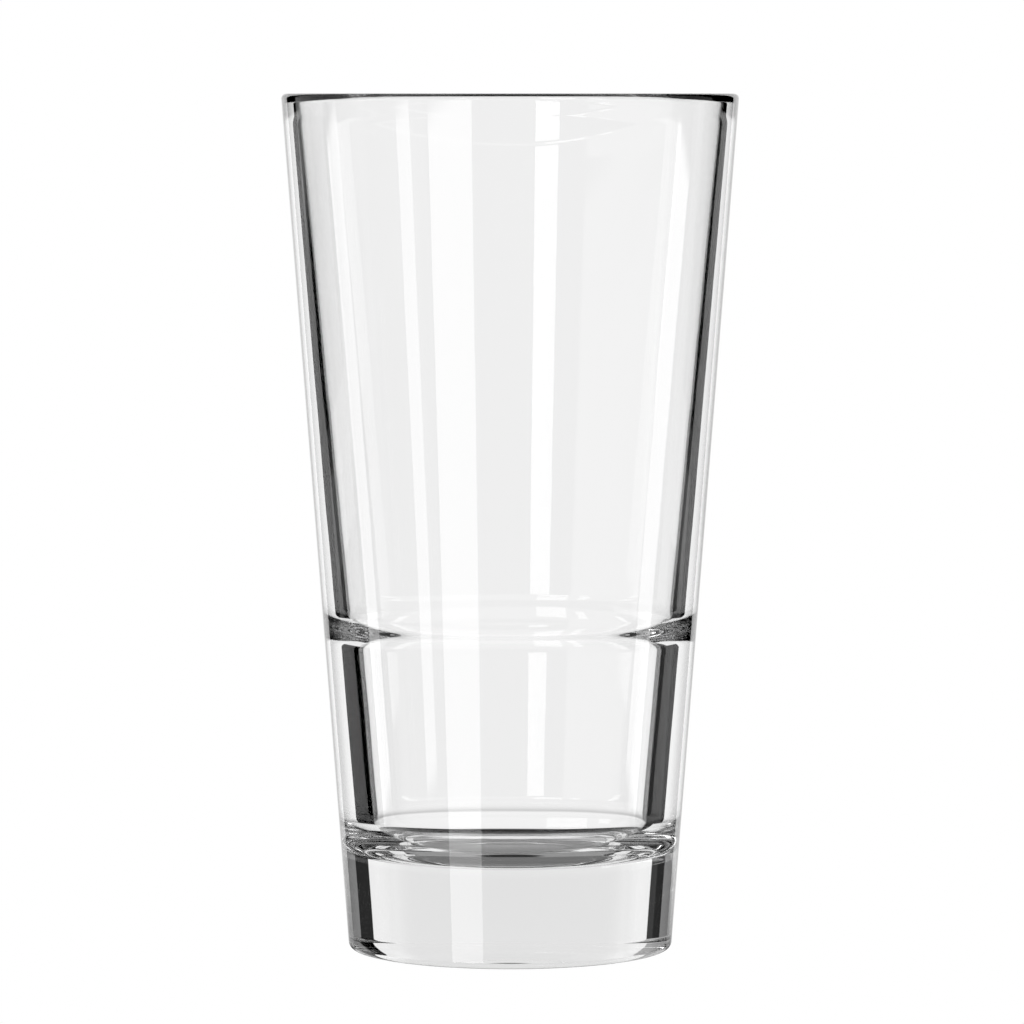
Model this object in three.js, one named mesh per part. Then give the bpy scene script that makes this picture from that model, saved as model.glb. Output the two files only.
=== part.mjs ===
// Tall stackable beer glass: a solid of revolution about Z that stands on Z = 0.
// It is one moulding of clear glass, kept here as the zones that a glassmaker names.
// Neighbouring zones share a flat plane and have the same radii on it.

import * as THREE from 'three';

// Driving dimensions, in millimetres

// Outside
const HEIGHT = 172;
const RIM_DIAMETER = 91.7;
const FOOT_DIAMETER = 65;
const HEEL_ROUND = 1.4;

// Lip
const LIP_CREST_WIDTH = 3;
const LIP_BEVEL_HEIGHT = 5;
const LIP_OUTER_ROUND = 1;
const LIP_INNER_ROUND = 1.9;
const LIP_BEVEL_ROUND = 20;

// Walls, measured level at the place in each name
const RIM_WALL = 3.3;
const SHOULDER_WALL = 5.05;
const FLOOR_WALL = 7;

// Stacking shoulder, placed by the middle of its sloping face
const SHOULDER_HEIGHT = 65.6;
const SHOULDER_STEP = 1.55;
const SHOULDER_RISE = 3.2;
const SHOULDER_UPPER_ROUND = 6;
const SHOULDER_LOWER_ROUND = 7.5;

// Bowl floor and underside
const FLOOR_HEIGHT = 18.9;
const FLOOR_DISH = 0.5;
const FLOOR_ROUND = 9;
const BEARING_WIDTH = 4;
const PUSH_UP_DEPTH = 3;

// Straight run between a round and the plane that ends its zone
const ZONE_MARGIN = 1.5;

// Facets: divisions of a turn, degrees in each step of an arc, and steps across a dish
const SEGMENTS = 72;
const ARC_STEP = 11;
const DISH_STEPS = 4;

// Outside cone, from the table to the lip
const footRadius = FOOT_DIAMETER / 2;
const rimRadius = RIM_DIAMETER / 2;
const outside = (z) => THREE.MathUtils.lerp(footRadius, rimRadius, z / HEIGHT);

// Straight wall line through two points, as radius against height
function wallLine(low, high) {
  const taper = (high.r - low.r) / (high.z - low.z);
  return (z) => low.r + taper * (z - low.z);
}

// Inside of the upper wall, and of the lower wall one step further in
const shoulderRadius = outside(SHOULDER_HEIGHT) - SHOULDER_WALL;
const insideUpper = wallLine(
  { r: shoulderRadius, z: SHOULDER_HEIGHT },
  { r: rimRadius - RIM_WALL, z: HEIGHT },
);
const insideLower = wallLine(
  { r: outside(FLOOR_HEIGHT) - FLOOR_WALL, z: FLOOR_HEIGHT },
  { r: shoulderRadius - SHOULDER_STEP, z: SHOULDER_HEIGHT },
);

// Ends of the sloping face, the floor and the lip's bevel, before they are rounded
const shoulderLow = SHOULDER_HEIGHT - SHOULDER_RISE / 2;
const shoulderHigh = SHOULDER_HEIGHT + SHOULDER_RISE / 2;
const floorCorner = FLOOR_HEIGHT + FLOOR_DISH;
const bevelFoot = HEIGHT - LIP_BEVEL_HEIGHT;

// Planes where the zones meet, clear of every round: one that turns the wall by less than a
// right angle reaches along it by less than its radius, and no further than its shorter edge
const footTop = PUSH_UP_DEPTH + HEEL_ROUND + ZONE_MARGIN;
const baseTop = floorCorner + FLOOR_ROUND + ZONE_MARGIN;
const lowerWallTop = shoulderLow - SHOULDER_LOWER_ROUND - ZONE_MARGIN;
const shoulderTop = shoulderHigh + SHOULDER_UPPER_ROUND + ZONE_MARGIN;
const upperWallTop = bevelFoot - LIP_BEVEL_HEIGHT - ZONE_MARGIN;

// Half the angle inside a corner, and the two directions away from it
function cornerFrame(before, corner, after) {
  const at = new THREE.Vector2(corner.r, corner.z);
  const back = new THREE.Vector2(before.r, before.z).sub(at).normalize();
  const ahead = new THREE.Vector2(after.r, after.z).sub(at).normalize();
  return { at, back, ahead, half: back.angleTo(ahead) / 2 };
}

// Points of the arc that touches both edges of a corner, `reach` away from it
function cornerArc({ at, back, ahead, half }, reach) {
  const radius = reach * Math.tan(half);
  const centre = back.clone().add(ahead).setLength(radius / Math.sin(half)).add(at);
  const start = at.clone().addScaledVector(back, reach).sub(centre);
  const end = at.clone().addScaledVector(ahead, reach).sub(centre);
  const turn = Math.atan2(start.cross(end), start.dot(end));
  const steps = Math.ceil(Math.abs(THREE.MathUtils.radToDeg(turn)) / ARC_STEP);
  const origin = new THREE.Vector2();
  return Array.from({ length: steps + 1 }, (_, i) =>
    start.clone().rotateAround(origin, turn * i / steps).add(centre));
}

// Profile points of a run of corners, with the rounds limited by the edges that they share
function profile(corners) {
  const frames = corners.map((corner, i) => corner.round
    && cornerFrame(corners[i - 1], corner, corners[(i + 1) % corners.length]));
  const reach = frames.map((frame, i) => frame ? corners[i].round / Math.tan(frame.half) : 0);
  const share = (i, j) => {
    const edge = Math.hypot(corners[j].r - corners[i].r, corners[j].z - corners[i].z);
    return Math.min(1, edge / (reach[i] + reach[j]));
  };
  return corners.flatMap((corner, i) => {
    if (!corner.round) return [new THREE.Vector2(corner.r, corner.z)];
    const limit = Math.min(share(i - 1, i), share(i, (i + 1) % corners.length));
    return cornerArc(frames[i], reach[i] * limit);
  });
}

// Corners of a shallow dish from the axis out to `extent`; at `radius` it is `rise` higher
function dish(radius, axisHeight, rise, extent = radius) {
  return Array.from({ length: DISH_STEPS + 1 }, (_, i) => {
    const r = extent * i / DISH_STEPS;
    return { r, z: axisHeight + rise * (r / radius) ** 2 };
  });
}

function zone(name, points) {
  const geometry = new THREE.LatheGeometry(points, SEGMENTS);
  geometry.rotateX(Math.PI / 2);
  const material = new THREE.MeshStandardMaterial({
    color: 0xeef2f2,
    roughness: 0.03,
    metalness: 0,
    transparent: true,
    opacity: 0.35,
  });
  const mesh = new THREE.Mesh(geometry, material);
  mesh.name = name;
  return mesh;
}

// A ring-shaped zone: its profile closes on its first point
function ring(name, corners) {
  const points = profile(corners);
  return zone(name, [...points, points[0].clone()]);
}

function foot() {
  const bearingRadius = footRadius - HEEL_ROUND - BEARING_WIDTH;
  return zone('foot', profile([
    ...dish(bearingRadius, PUSH_UP_DEPTH, -PUSH_UP_DEPTH),
    { r: footRadius, z: 0, round: HEEL_ROUND },
    { r: outside(footTop), z: footTop },
    { r: 0, z: footTop },
  ]));
}

function base() {
  const corner = { r: insideLower(floorCorner), z: floorCorner, round: FLOOR_ROUND };
  const floor = dish(corner.r, FLOOR_HEIGHT, FLOOR_DISH, corner.r - FLOOR_ROUND);
  return zone('base', profile([
    { r: 0, z: footTop },
    { r: outside(footTop), z: footTop },
    { r: outside(baseTop), z: baseTop },
    { r: insideLower(baseTop), z: baseTop },
    corner,
    ...floor.reverse(),
  ]));
}

function lowerWall() {
  return ring('lower_wall', [
    { r: insideLower(baseTop), z: baseTop },
    { r: outside(baseTop), z: baseTop },
    { r: outside(lowerWallTop), z: lowerWallTop },
    { r: insideLower(lowerWallTop), z: lowerWallTop },
  ]);
}

function stackingShoulder() {
  return ring('stacking_shoulder', [
    { r: insideLower(lowerWallTop), z: lowerWallTop },
    { r: outside(lowerWallTop), z: lowerWallTop },
    { r: outside(shoulderTop), z: shoulderTop },
    { r: insideUpper(shoulderTop), z: shoulderTop },
    { r: insideUpper(shoulderHigh), z: shoulderHigh, round: SHOULDER_UPPER_ROUND },
    { r: insideLower(shoulderLow), z: shoulderLow, round: SHOULDER_LOWER_ROUND },
  ]);
}

function upperWall() {
  return ring('upper_wall', [
    { r: insideUpper(shoulderTop), z: shoulderTop },
    { r: outside(shoulderTop), z: shoulderTop },
    { r: outside(upperWallTop), z: upperWallTop },
    { r: insideUpper(upperWallTop), z: upperWallTop },
  ]);
}

function rim() {
  return ring('rim', [
    { r: insideUpper(upperWallTop), z: upperWallTop },
    { r: outside(upperWallTop), z: upperWallTop },
    { r: rimRadius, z: HEIGHT, round: LIP_OUTER_ROUND },
    { r: rimRadius - LIP_CREST_WIDTH, z: HEIGHT, round: LIP_INNER_ROUND },
    { r: insideUpper(bevelFoot), z: bevelFoot, round: LIP_BEVEL_ROUND },
  ]);
}

const glass = new THREE.Group();
glass.name = 'beer_glass';
glass.add(foot(), base(), lowerWall(), stackingShoulder(), upperWall(), rim());

export default glass;
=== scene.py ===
import math

import bpy
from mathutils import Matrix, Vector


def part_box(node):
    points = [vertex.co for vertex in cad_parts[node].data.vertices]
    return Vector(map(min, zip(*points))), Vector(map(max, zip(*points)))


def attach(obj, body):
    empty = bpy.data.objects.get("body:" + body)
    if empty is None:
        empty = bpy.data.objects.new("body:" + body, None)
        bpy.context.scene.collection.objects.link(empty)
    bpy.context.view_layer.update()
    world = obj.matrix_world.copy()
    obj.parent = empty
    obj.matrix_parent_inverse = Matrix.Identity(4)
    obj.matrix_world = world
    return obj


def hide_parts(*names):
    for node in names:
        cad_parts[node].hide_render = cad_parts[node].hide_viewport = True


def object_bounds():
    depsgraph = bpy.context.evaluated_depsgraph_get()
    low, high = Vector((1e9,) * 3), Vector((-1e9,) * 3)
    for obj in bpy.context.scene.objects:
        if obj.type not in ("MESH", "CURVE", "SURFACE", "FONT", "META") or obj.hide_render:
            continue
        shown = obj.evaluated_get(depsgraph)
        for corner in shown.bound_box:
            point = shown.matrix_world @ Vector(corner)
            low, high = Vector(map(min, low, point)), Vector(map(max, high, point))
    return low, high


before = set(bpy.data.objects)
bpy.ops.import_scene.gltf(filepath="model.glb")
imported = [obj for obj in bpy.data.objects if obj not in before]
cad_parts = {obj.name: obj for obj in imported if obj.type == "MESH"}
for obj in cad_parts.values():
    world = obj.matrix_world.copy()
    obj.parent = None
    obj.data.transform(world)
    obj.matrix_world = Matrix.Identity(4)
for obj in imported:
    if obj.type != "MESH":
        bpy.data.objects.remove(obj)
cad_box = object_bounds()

# A clear beer glass, turned from one rounded profile, in front of a lit card with dark sides.
# Lengths are in metres. Bearings are in degrees round the glass: 0 is straight behind it,
# as the photograph sees it, and positive ones lie to the right. Slopes are in degrees up from
# the glass's mid height.
MM = 0.001

# Rounds and small forms of the profile
HEEL_ROUND = 1.4 * MM
BEARING_WIDTH = 4 * MM
BEARING_ROUND = 0.6 * MM
PUSH_UP_DEPTH = 3 * MM
FLOOR_HEIGHT = 18.9 * MM
FLOOR_DISH = 0.5 * MM
FLOOR_ROUND = 9 * MM
FLOOR_RIPPLE = 0.012 * MM
RIPPLE_SPACING = 4.7 * MM
SHOULDER_HEIGHT = 65.6 * MM
SHOULDER_RISE = 3.2 * MM
SHOULDER_UPPER_ROUND = 6 * MM
SHOULDER_LOWER_ROUND = 7.5 * MM
LIP_CREST_WIDTH = 3 * MM
LIP_BEVEL_HEIGHT = 5 * MM
LIP_OUTER_ROUND = 1 * MM
LIP_INNER_ROUND = 1.9 * MM
LIP_BEVEL_ROUND = 20 * MM

# Fineness of the mesh
SEGMENTS = 288
ARC_STEP = 3
DISH_STEPS = 48
GUARD = 0.2 * MM
PLANE_TOLERANCE = 0.01 * MM
BORDER_STEPS = 6
BEARING_STEP = 0.5
SLOPE_STEP = 1
DISC_VERTICES = 96

# The photograph's camera: level with the lip, tipped down a little
IMAGE_SIDE = 1024
FOCAL_PIXELS = 6000
AXIS_COLUMN = 510.15
SENSOR_WIDTH = 36
CAMERA_DISTANCE = 1203.5 * MM
CAMERA_PITCH = 3.99

# The glass: absorption and waves are per metre, and the edge is where the wall turns away, where painted
# shade darkens the glass's colour at its outline
GLASS_IOR = 1.52
GLASS_ABSORPTION = 2.27
WAVE_SCALE = 40
WAVE_DETAIL = 1
WAVE_DEPTH = 0.03 * MM
INSIDE_REFLECTION = 0.03
EDGE_START = 0.78
EDGE_END = 0.88
EDGE_PAINTED_SHADE = 0.03
MAX_BOUNCES = 32

# The table, and the patch of it under the foot
TABLE_RADIUS = 3
TABLE_LIGHT = 1
UNDER_RADIUS = 26 * MM
UNDER_GAP = 0.2 * MM
UNDER_LIGHT = 0.15

# Panels: distances from the axis, and what several of them share
BACK_DISTANCE = 220 * MM
MIDDLE_DISTANCE = 218 * MM
FLAG_DISTANCE = 580 * MM
LAMP_DISTANCE = 3
FRONT_DISTANCE = 3.15
SIDE_DISTANCE = 3.2
HIGH_DISTANCE = 12
BACK_SLOPES = (-22.5, 58)
FLAG_SLOPES = (-10.3, -6.4)
UPPER_SLOPES = (12, 45)
FLAG_LIGHT = 0.03
LOW_LIGHT = 0.32
STRIP_LIGHT = 3.2
UPPER_LIGHT = 0.5
FLAG_BORDERS = (0.6, 0.3)
LAMP_BORDERS = (0.5, 0.5)
UPPER_BORDERS = (4, 4)


def wall_line(node, side):
    """Radius against height along a wall zone of the frame, read from its two end planes."""
    pick = {"inside": min, "outside": max}[side]
    low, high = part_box(node)
    vertices = [v.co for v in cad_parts[node].data.vertices]

    def radius_on(level):
        return pick(math.hypot(v.x, v.y) for v in vertices if abs(v.z - level) < PLANE_TOLERANCE)

    low_radius, high_radius = radius_on(low.z), radius_on(high.z)
    taper = (high_radius - low_radius) / (high.z - low.z)
    return lambda z: low_radius + taper * (z - low.z)


def dish(radius, axis_height, rise, extent, ripple=0):
    """Corners of a shallow dish from the axis out to an extent; at the radius it is higher by rise.
    Ripples round the axis are left where the press cooled, fading out at the axis and the extent."""
    radii = [extent * i / DISH_STEPS for i in range(DISH_STEPS + 1)]

    def height(r):
        fade_out = math.sin(math.pi * r / extent)
        wave = ripple * fade_out * math.cos(2 * math.pi * r / RIPPLE_SPACING)
        return axis_height + rise * (r / radius) ** 2 + wave

    return [(r, height(r), 0) for r in radii]


def arc_points(before, corner, after, radius):
    """Points of the arc that rounds a corner, with a guard point on the straight at each end."""
    at = complex(*corner)
    back = complex(*before) - at
    ahead = complex(*after) - at
    back_length, ahead_length = abs(back), abs(ahead)
    back /= back_length
    ahead /= ahead_length
    half = math.acos(max(-1, min(1, (back * ahead.conjugate()).real))) / 2
    reach = radius / math.tan(half)
    bisector = (back + ahead) / abs(back + ahead)
    centre = at + bisector * radius / math.sin(half)
    start = at + back * reach - centre
    end = at + ahead * reach - centre
    turn = math.atan2((start.conjugate() * end).imag, (start.conjugate() * end).real)
    steps = max(2, math.ceil(abs(math.degrees(turn)) / ARC_STEP))
    points = [at + back * min(reach + GUARD, back_length)]
    points += [centre + start * complex(math.cos(turn * i / steps), math.sin(turn * i / steps))
               for i in range(steps + 1)]
    points.append(at + ahead * min(reach + GUARD, ahead_length))
    return [(p.real, p.imag) for p in points]


def rounded(corners):
    """Profile points of a run of corners, each given as radius, height and the size of its round."""
    points = []
    for i, (radius, height, size) in enumerate(corners):
        if size:
            points += arc_points(corners[i - 1][:2], (radius, height), corners[i + 1][:2], size)
        else:
            points.append((radius, height))
    return points


def glass_profile():
    """The whole outline from the axis under the foot, up outside, over the lip and down to the floor."""
    outside = wall_line("upper_wall", "outside")
    inside_upper = wall_line("upper_wall", "inside")
    inside_lower = wall_line("lower_wall", "inside")
    low, high = cad_box
    height = high.z
    foot_radius, rim_radius = outside(low.z), outside(height)
    bearing_radius = foot_radius - HEEL_ROUND - BEARING_WIDTH
    bevel_foot = height - LIP_BEVEL_HEIGHT
    shoulder_low = SHOULDER_HEIGHT - SHOULDER_RISE / 2
    shoulder_high = SHOULDER_HEIGHT + SHOULDER_RISE / 2
    floor_corner = FLOOR_HEIGHT + FLOOR_DISH
    corner_radius = inside_lower(floor_corner)
    push_up = dish(bearing_radius, PUSH_UP_DEPTH, -PUSH_UP_DEPTH, bearing_radius)
    floor = dish(corner_radius, FLOOR_HEIGHT, FLOOR_DISH, corner_radius - FLOOR_ROUND,
                 FLOOR_RIPPLE)
    return rounded([
        *push_up[:-1],
        (bearing_radius, 0, BEARING_ROUND),
        (foot_radius, 0, HEEL_ROUND),
        (rim_radius, height, LIP_OUTER_ROUND),
        (rim_radius - LIP_CREST_WIDTH, height, LIP_INNER_ROUND),
        (inside_upper(bevel_foot), bevel_foot, LIP_BEVEL_ROUND),
        (inside_upper(shoulder_high), shoulder_high, SHOULDER_UPPER_ROUND),
        (inside_lower(shoulder_low), shoulder_low, SHOULDER_LOWER_ROUND),
        (corner_radius, floor_corner, FLOOR_ROUND),
        *reversed(floor),
    ])


def revolve(name, profile):
    """A closed smooth mesh from a profile that starts and ends on the axis."""
    vertices, rings = [], []
    for radius, height in profile:
        count = SEGMENTS if radius > PLANE_TOLERANCE else 1
        turns = [2 * math.pi * k / SEGMENTS for k in range(count)]
        rings.append(range(len(vertices), len(vertices) + count))
        vertices += [(radius * math.cos(t), radius * math.sin(t), height) for t in turns]
    faces = []
    for lower, upper in zip(rings, rings[1:]):
        for k in range(SEGMENTS):
            corners = [lower[k % len(lower)], lower[(k + 1) % len(lower)],
                       upper[(k + 1) % len(upper)], upper[k % len(upper)]]
            faces.append(list(dict.fromkeys(corners)))
    mesh = bpy.data.meshes.new(name)
    mesh.from_pydata(vertices, [], faces)
    mesh.shade_smooth()
    obj = bpy.data.objects.new(name, mesh)
    bpy.context.collection.objects.link(obj)
    return obj


def clear_glass():
    """Clear glass with a little absorption. The mesh's outer attribute is 1 on the outside, where the
    surface mirrors in full and painted shade darkens the colour of the outline where the wall turns
    away, and 0 inside."""
    material = bpy.data.materials.new("clear_glass")
    material.use_nodes = True
    nodes, links = material.node_tree.nodes, material.node_tree.links
    shader = nodes["Principled BSDF"]
    shader.inputs["Roughness"].default_value = 0
    shader.inputs["IOR"].default_value = GLASS_IOR
    shader.inputs["Transmission Weight"].default_value = 1
    outer = nodes.new("ShaderNodeAttribute")
    outer.attribute_name = "outer"

    def ranged(source, low, high, start=0, end=1):
        node = nodes.new("ShaderNodeMapRange")
        node.inputs["From Min"].default_value = start
        node.inputs["From Max"].default_value = end
        node.inputs["To Min"].default_value = low
        node.inputs["To Max"].default_value = high
        links.new(source, node.inputs["Value"])
        return node

    reflection = ranged(outer.outputs["Fac"], INSIDE_REFLECTION, 1)
    links.new(reflection.outputs["Result"], shader.inputs["Specular Tint"])
    # Painted shade: the colour darkens towards the outline where the wall turns away from view, on the
    # outside faces only
    turned = nodes.new("ShaderNodeLayerWeight")
    painted_outline = ranged(outer.outputs["Fac"], 1, EDGE_PAINTED_SHADE)
    painted_edge_shade = ranged(turned.outputs["Facing"], 1, 1, EDGE_START, EDGE_END)
    links.new(painted_outline.outputs["Result"], painted_edge_shade.inputs["To Max"])
    links.new(painted_edge_shade.outputs["Result"], shader.inputs["Base Color"])
    place = nodes.new("ShaderNodeTexCoord")
    waves = nodes.new("ShaderNodeTexNoise")
    waves.inputs["Scale"].default_value = WAVE_SCALE
    waves.inputs["Detail"].default_value = WAVE_DETAIL
    bump = nodes.new("ShaderNodeBump")
    bump.inputs["Distance"].default_value = WAVE_DEPTH
    links.new(place.outputs["Object"], waves.inputs["Vector"])
    links.new(waves.outputs["Fac"], bump.inputs["Height"])
    links.new(bump.outputs["Normal"], shader.inputs["Normal"])
    absorption = nodes.new("ShaderNodeVolumeAbsorption")
    absorption.inputs["Color"].default_value = (0, 0, 0, 1)
    absorption.inputs["Density"].default_value = GLASS_ABSORPTION
    links.new(absorption.outputs["Volume"], nodes["Material Output"].inputs["Volume"])
    return material


def faces_axis(face):
    """Whether a face is on the inside of the glass: above the floor and turned towards the axis."""
    outward = face.normal.x * face.center.x + face.normal.y * face.center.y
    return outward < 0 and face.center.z > FLOOR_HEIGHT


def emitter(name, strength, fades):
    """A light; one that fades turns clear where the mesh's glow attribute falls."""
    material = bpy.data.materials.new(name)
    material.use_nodes = True
    nodes, links = material.node_tree.nodes, material.node_tree.links
    nodes.clear()
    emission = nodes.new("ShaderNodeEmission")
    emission.inputs["Strength"].default_value = strength
    surface = emission.outputs["Emission"]
    if fades:
        glow = nodes.new("ShaderNodeAttribute")
        glow.attribute_name = "glow"
        clear = nodes.new("ShaderNodeBsdfTransparent")
        mix = nodes.new("ShaderNodeMixShader")
        links.new(glow.outputs["Fac"], mix.inputs["Fac"])
        links.new(clear.outputs["BSDF"], mix.inputs[1])
        links.new(surface, mix.inputs[2])
        surface = mix.outputs["Shader"]
    output = nodes.new("ShaderNodeOutputMaterial")
    links.new(surface, output.inputs["Surface"])
    return material


def fade(value, low, high, border):
    """1 between two limits, and down smoothly to 0 across a border outside each of them."""
    share = min(1, max(0, 1 - max(low - value, value - high) / border))
    return share * share * (3 - 2 * share)


def spread(low, high, border, step):
    """Places across a card: fine steps through each border, and even ones of at most a step between."""
    count = math.ceil((high - low) / step)
    inner = [low + (high - low) * i / count for i in range(count + 1)]
    outer = [border * (i + 1) / BORDER_STEPS for i in range(BORDER_STEPS)]
    return [low - b for b in reversed(outer)] + inner + [high + b for b in outer]


def card(name, bearings, slopes, strength, distance, borders, lean=0):
    """A lit upright panel, bent round the glass, between two bearings and two slopes, with a border
    outside each pair where it fades. A leaning one turns by so many degrees of bearing from its lower
    slope to its upper one. Only the glass sees it."""
    mid_height = cad_box[1].z / 2
    columns = spread(*bearings, borders[0], BEARING_STEP)
    rows = spread(*slopes, borders[1], SLOPE_STEP)
    vertices, glow = [], []
    for bearing in columns:
        for slope in rows:
            turn = math.radians(bearing + lean * (slope - slopes[0]) / (slopes[1] - slopes[0]))
            height = mid_height + distance * math.tan(math.radians(slope))
            vertices.append((distance * math.sin(turn), distance * math.cos(turn), height))
            glow.append(fade(bearing, *bearings, borders[0]) * fade(slope, *slopes, borders[1]))
    n = len(rows)
    faces = [(i * n + k, (i + 1) * n + k, (i + 1) * n + k + 1, i * n + k + 1)
             for i in range(len(columns) - 1) for k in range(n - 1)]
    mesh = bpy.data.meshes.new(name)
    mesh.from_pydata(vertices, [], faces)
    mesh.attributes.new("glow", 'FLOAT', 'POINT').data.foreach_set("value", glow)
    mesh.materials.append(emitter(name, strength, fades=True))
    panel = bpy.data.objects.new(name, mesh)
    bpy.context.collection.objects.link(panel)
    panel.visible_camera = False


def disc(name, radius, height, strength):
    """A flat lit patch of the table."""
    bpy.ops.mesh.primitive_circle_add(vertices=DISC_VERTICES, radius=radius, fill_type='NGON',
                                      location=(0, 0, height))
    plane = bpy.context.object
    plane.name = name
    plane.data.materials.append(emitter(name, strength, fades=False))
    return plane


def floor():
    """The white table, which only the camera sees, and the dim patch that the glass sees below it."""
    table = disc("floor", TABLE_RADIUS, 0, TABLE_LIGHT)
    table.visible_transmission = False
    table.visible_glossy = False
    table.visible_diffuse = False
    shade = disc("foot_shade", UNDER_RADIUS, -UNDER_GAP, UNDER_LIGHT)
    shade.visible_camera = False


def backdrop():
    """White where the camera looks past the glass, and black to the glass itself."""
    world = bpy.data.worlds.new("backdrop")
    bpy.context.scene.world = world
    world.use_nodes = True
    nodes, links = world.node_tree.nodes, world.node_tree.links
    light_path = nodes.new("ShaderNodeLightPath")
    links.new(light_path.outputs["Is Camera Ray"], nodes["Background"].inputs["Strength"])
    nodes["Background"].inputs["Color"].default_value = (1, 1, 1, 1)


def photograph_camera():
    data = bpy.data.cameras.new("camera")
    data.sensor_width = SENSOR_WIDTH
    data.lens = SENSOR_WIDTH * FOCAL_PIXELS / IMAGE_SIDE
    camera = bpy.data.objects.new("camera", data)
    bpy.context.collection.objects.link(camera)
    sideways = (IMAGE_SIDE / 2 - AXIS_COLUMN) / FOCAL_PIXELS * CAMERA_DISTANCE
    camera.location = (sideways, -CAMERA_DISTANCE, cad_box[1].z)
    camera.rotation_euler = (math.radians(90 - CAMERA_PITCH), 0, 0)
    bpy.context.scene.camera = camera


def light_paths():
    """Enough bounces for light that runs round inside the walls, and colours as they are."""
    scene = bpy.context.scene
    scene.cycles.max_bounces = MAX_BOUNCES
    scene.cycles.transmission_bounces = MAX_BOUNCES
    scene.cycles.glossy_bounces = MAX_BOUNCES
    scene.view_settings.view_transform = 'Standard'


glass = revolve("glass", glass_profile())
glass.data.materials.append(clear_glass())
outer = [float(not faces_axis(face)) for face in glass.data.polygons]
glass.data.attributes.new("outer", 'FLOAT', 'FACE').data.foreach_set("value", outer)
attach(glass, "root")
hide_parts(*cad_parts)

# The lit card behind the glass, a little dimmer in its middle
card("back", (-38.5, 38.5), BACK_SLOPES, 1.12, BACK_DISTANCE, borders=(0.4, 10))
card("back_middle", (-20, 20), BACK_SLOPES, 0.925, MIDDLE_DISTANCE, borders=(14, 10))

# Dark flags and dim panels low at both sides, which give the base its dark bands
card("left_flag", (-54.5, -42.5), FLAG_SLOPES, FLAG_LIGHT, FLAG_DISTANCE, FLAG_BORDERS)
card("right_flag", (42.5, 54.5), FLAG_SLOPES, FLAG_LIGHT, FLAG_DISTANCE, FLAG_BORDERS)
card("left_low", (-70, -54.5), FLAG_SLOPES, LOW_LIGHT, FLAG_DISTANCE, FLAG_BORDERS)
card("right_low", (54.5, 70), FLAG_SLOPES, LOW_LIGHT, FLAG_DISTANCE, FLAG_BORDERS)

# The room at the sides and in front, and the table further out
card("left_side", (-76, -44), (-2.5, 10), 0.6, SIDE_DISTANCE, borders=(2, 1.5))
card("right_side", (60, 88), (-14, 40), 0.28, SIDE_DISTANCE, borders=(3, 3))
card("table", (-92, 44), (-34, -19), 0.95, SIDE_DISTANCE, borders=(2, 2))
card("front", (95, 265), (-18, -5), 0.75, SIDE_DISTANCE, borders=(8, 2))
card("left_front", (-135, -77), (-8, 6), 0.9, FRONT_DISTANCE, borders=(3, 1))

# The lamps, which the walls mirror as bright strips
card("left_strip", (-94, -86), (-13.6, -4.4), STRIP_LIGHT, LAMP_DISTANCE, LAMP_BORDERS, lean=12)
card("right_strip", (87.5, 98), (-13.6, -4.9), STRIP_LIGHT, LAMP_DISTANCE, LAMP_BORDERS, lean=-12)
card("front_strip", (-131, -124), (-15, -6.5), STRIP_LIGHT, LAMP_DISTANCE, LAMP_BORDERS, lean=3)
card("front_box", (-160.5, -138.5), (-19.5, -7), 3.4, LAMP_DISTANCE, LAMP_BORDERS)
card("high_box", (-166, -153), (0, 8.4), 3.6, HIGH_DISTANCE, borders=(0.2, 0.2))

# Dim light from above for the lip and the foot, and from steeply below
card("left_high", (-140, -42), UPPER_SLOPES, UPPER_LIGHT, SIDE_DISTANCE, UPPER_BORDERS)
card("right_high", (88, 145), UPPER_SLOPES, UPPER_LIGHT, SIDE_DISTANCE, UPPER_BORDERS)
card("low_table", (48, 312), (-72, -36), 0.3, SIDE_DISTANCE, borders=(4, 2))

floor()
backdrop()
photograph_camera()
light_paths()
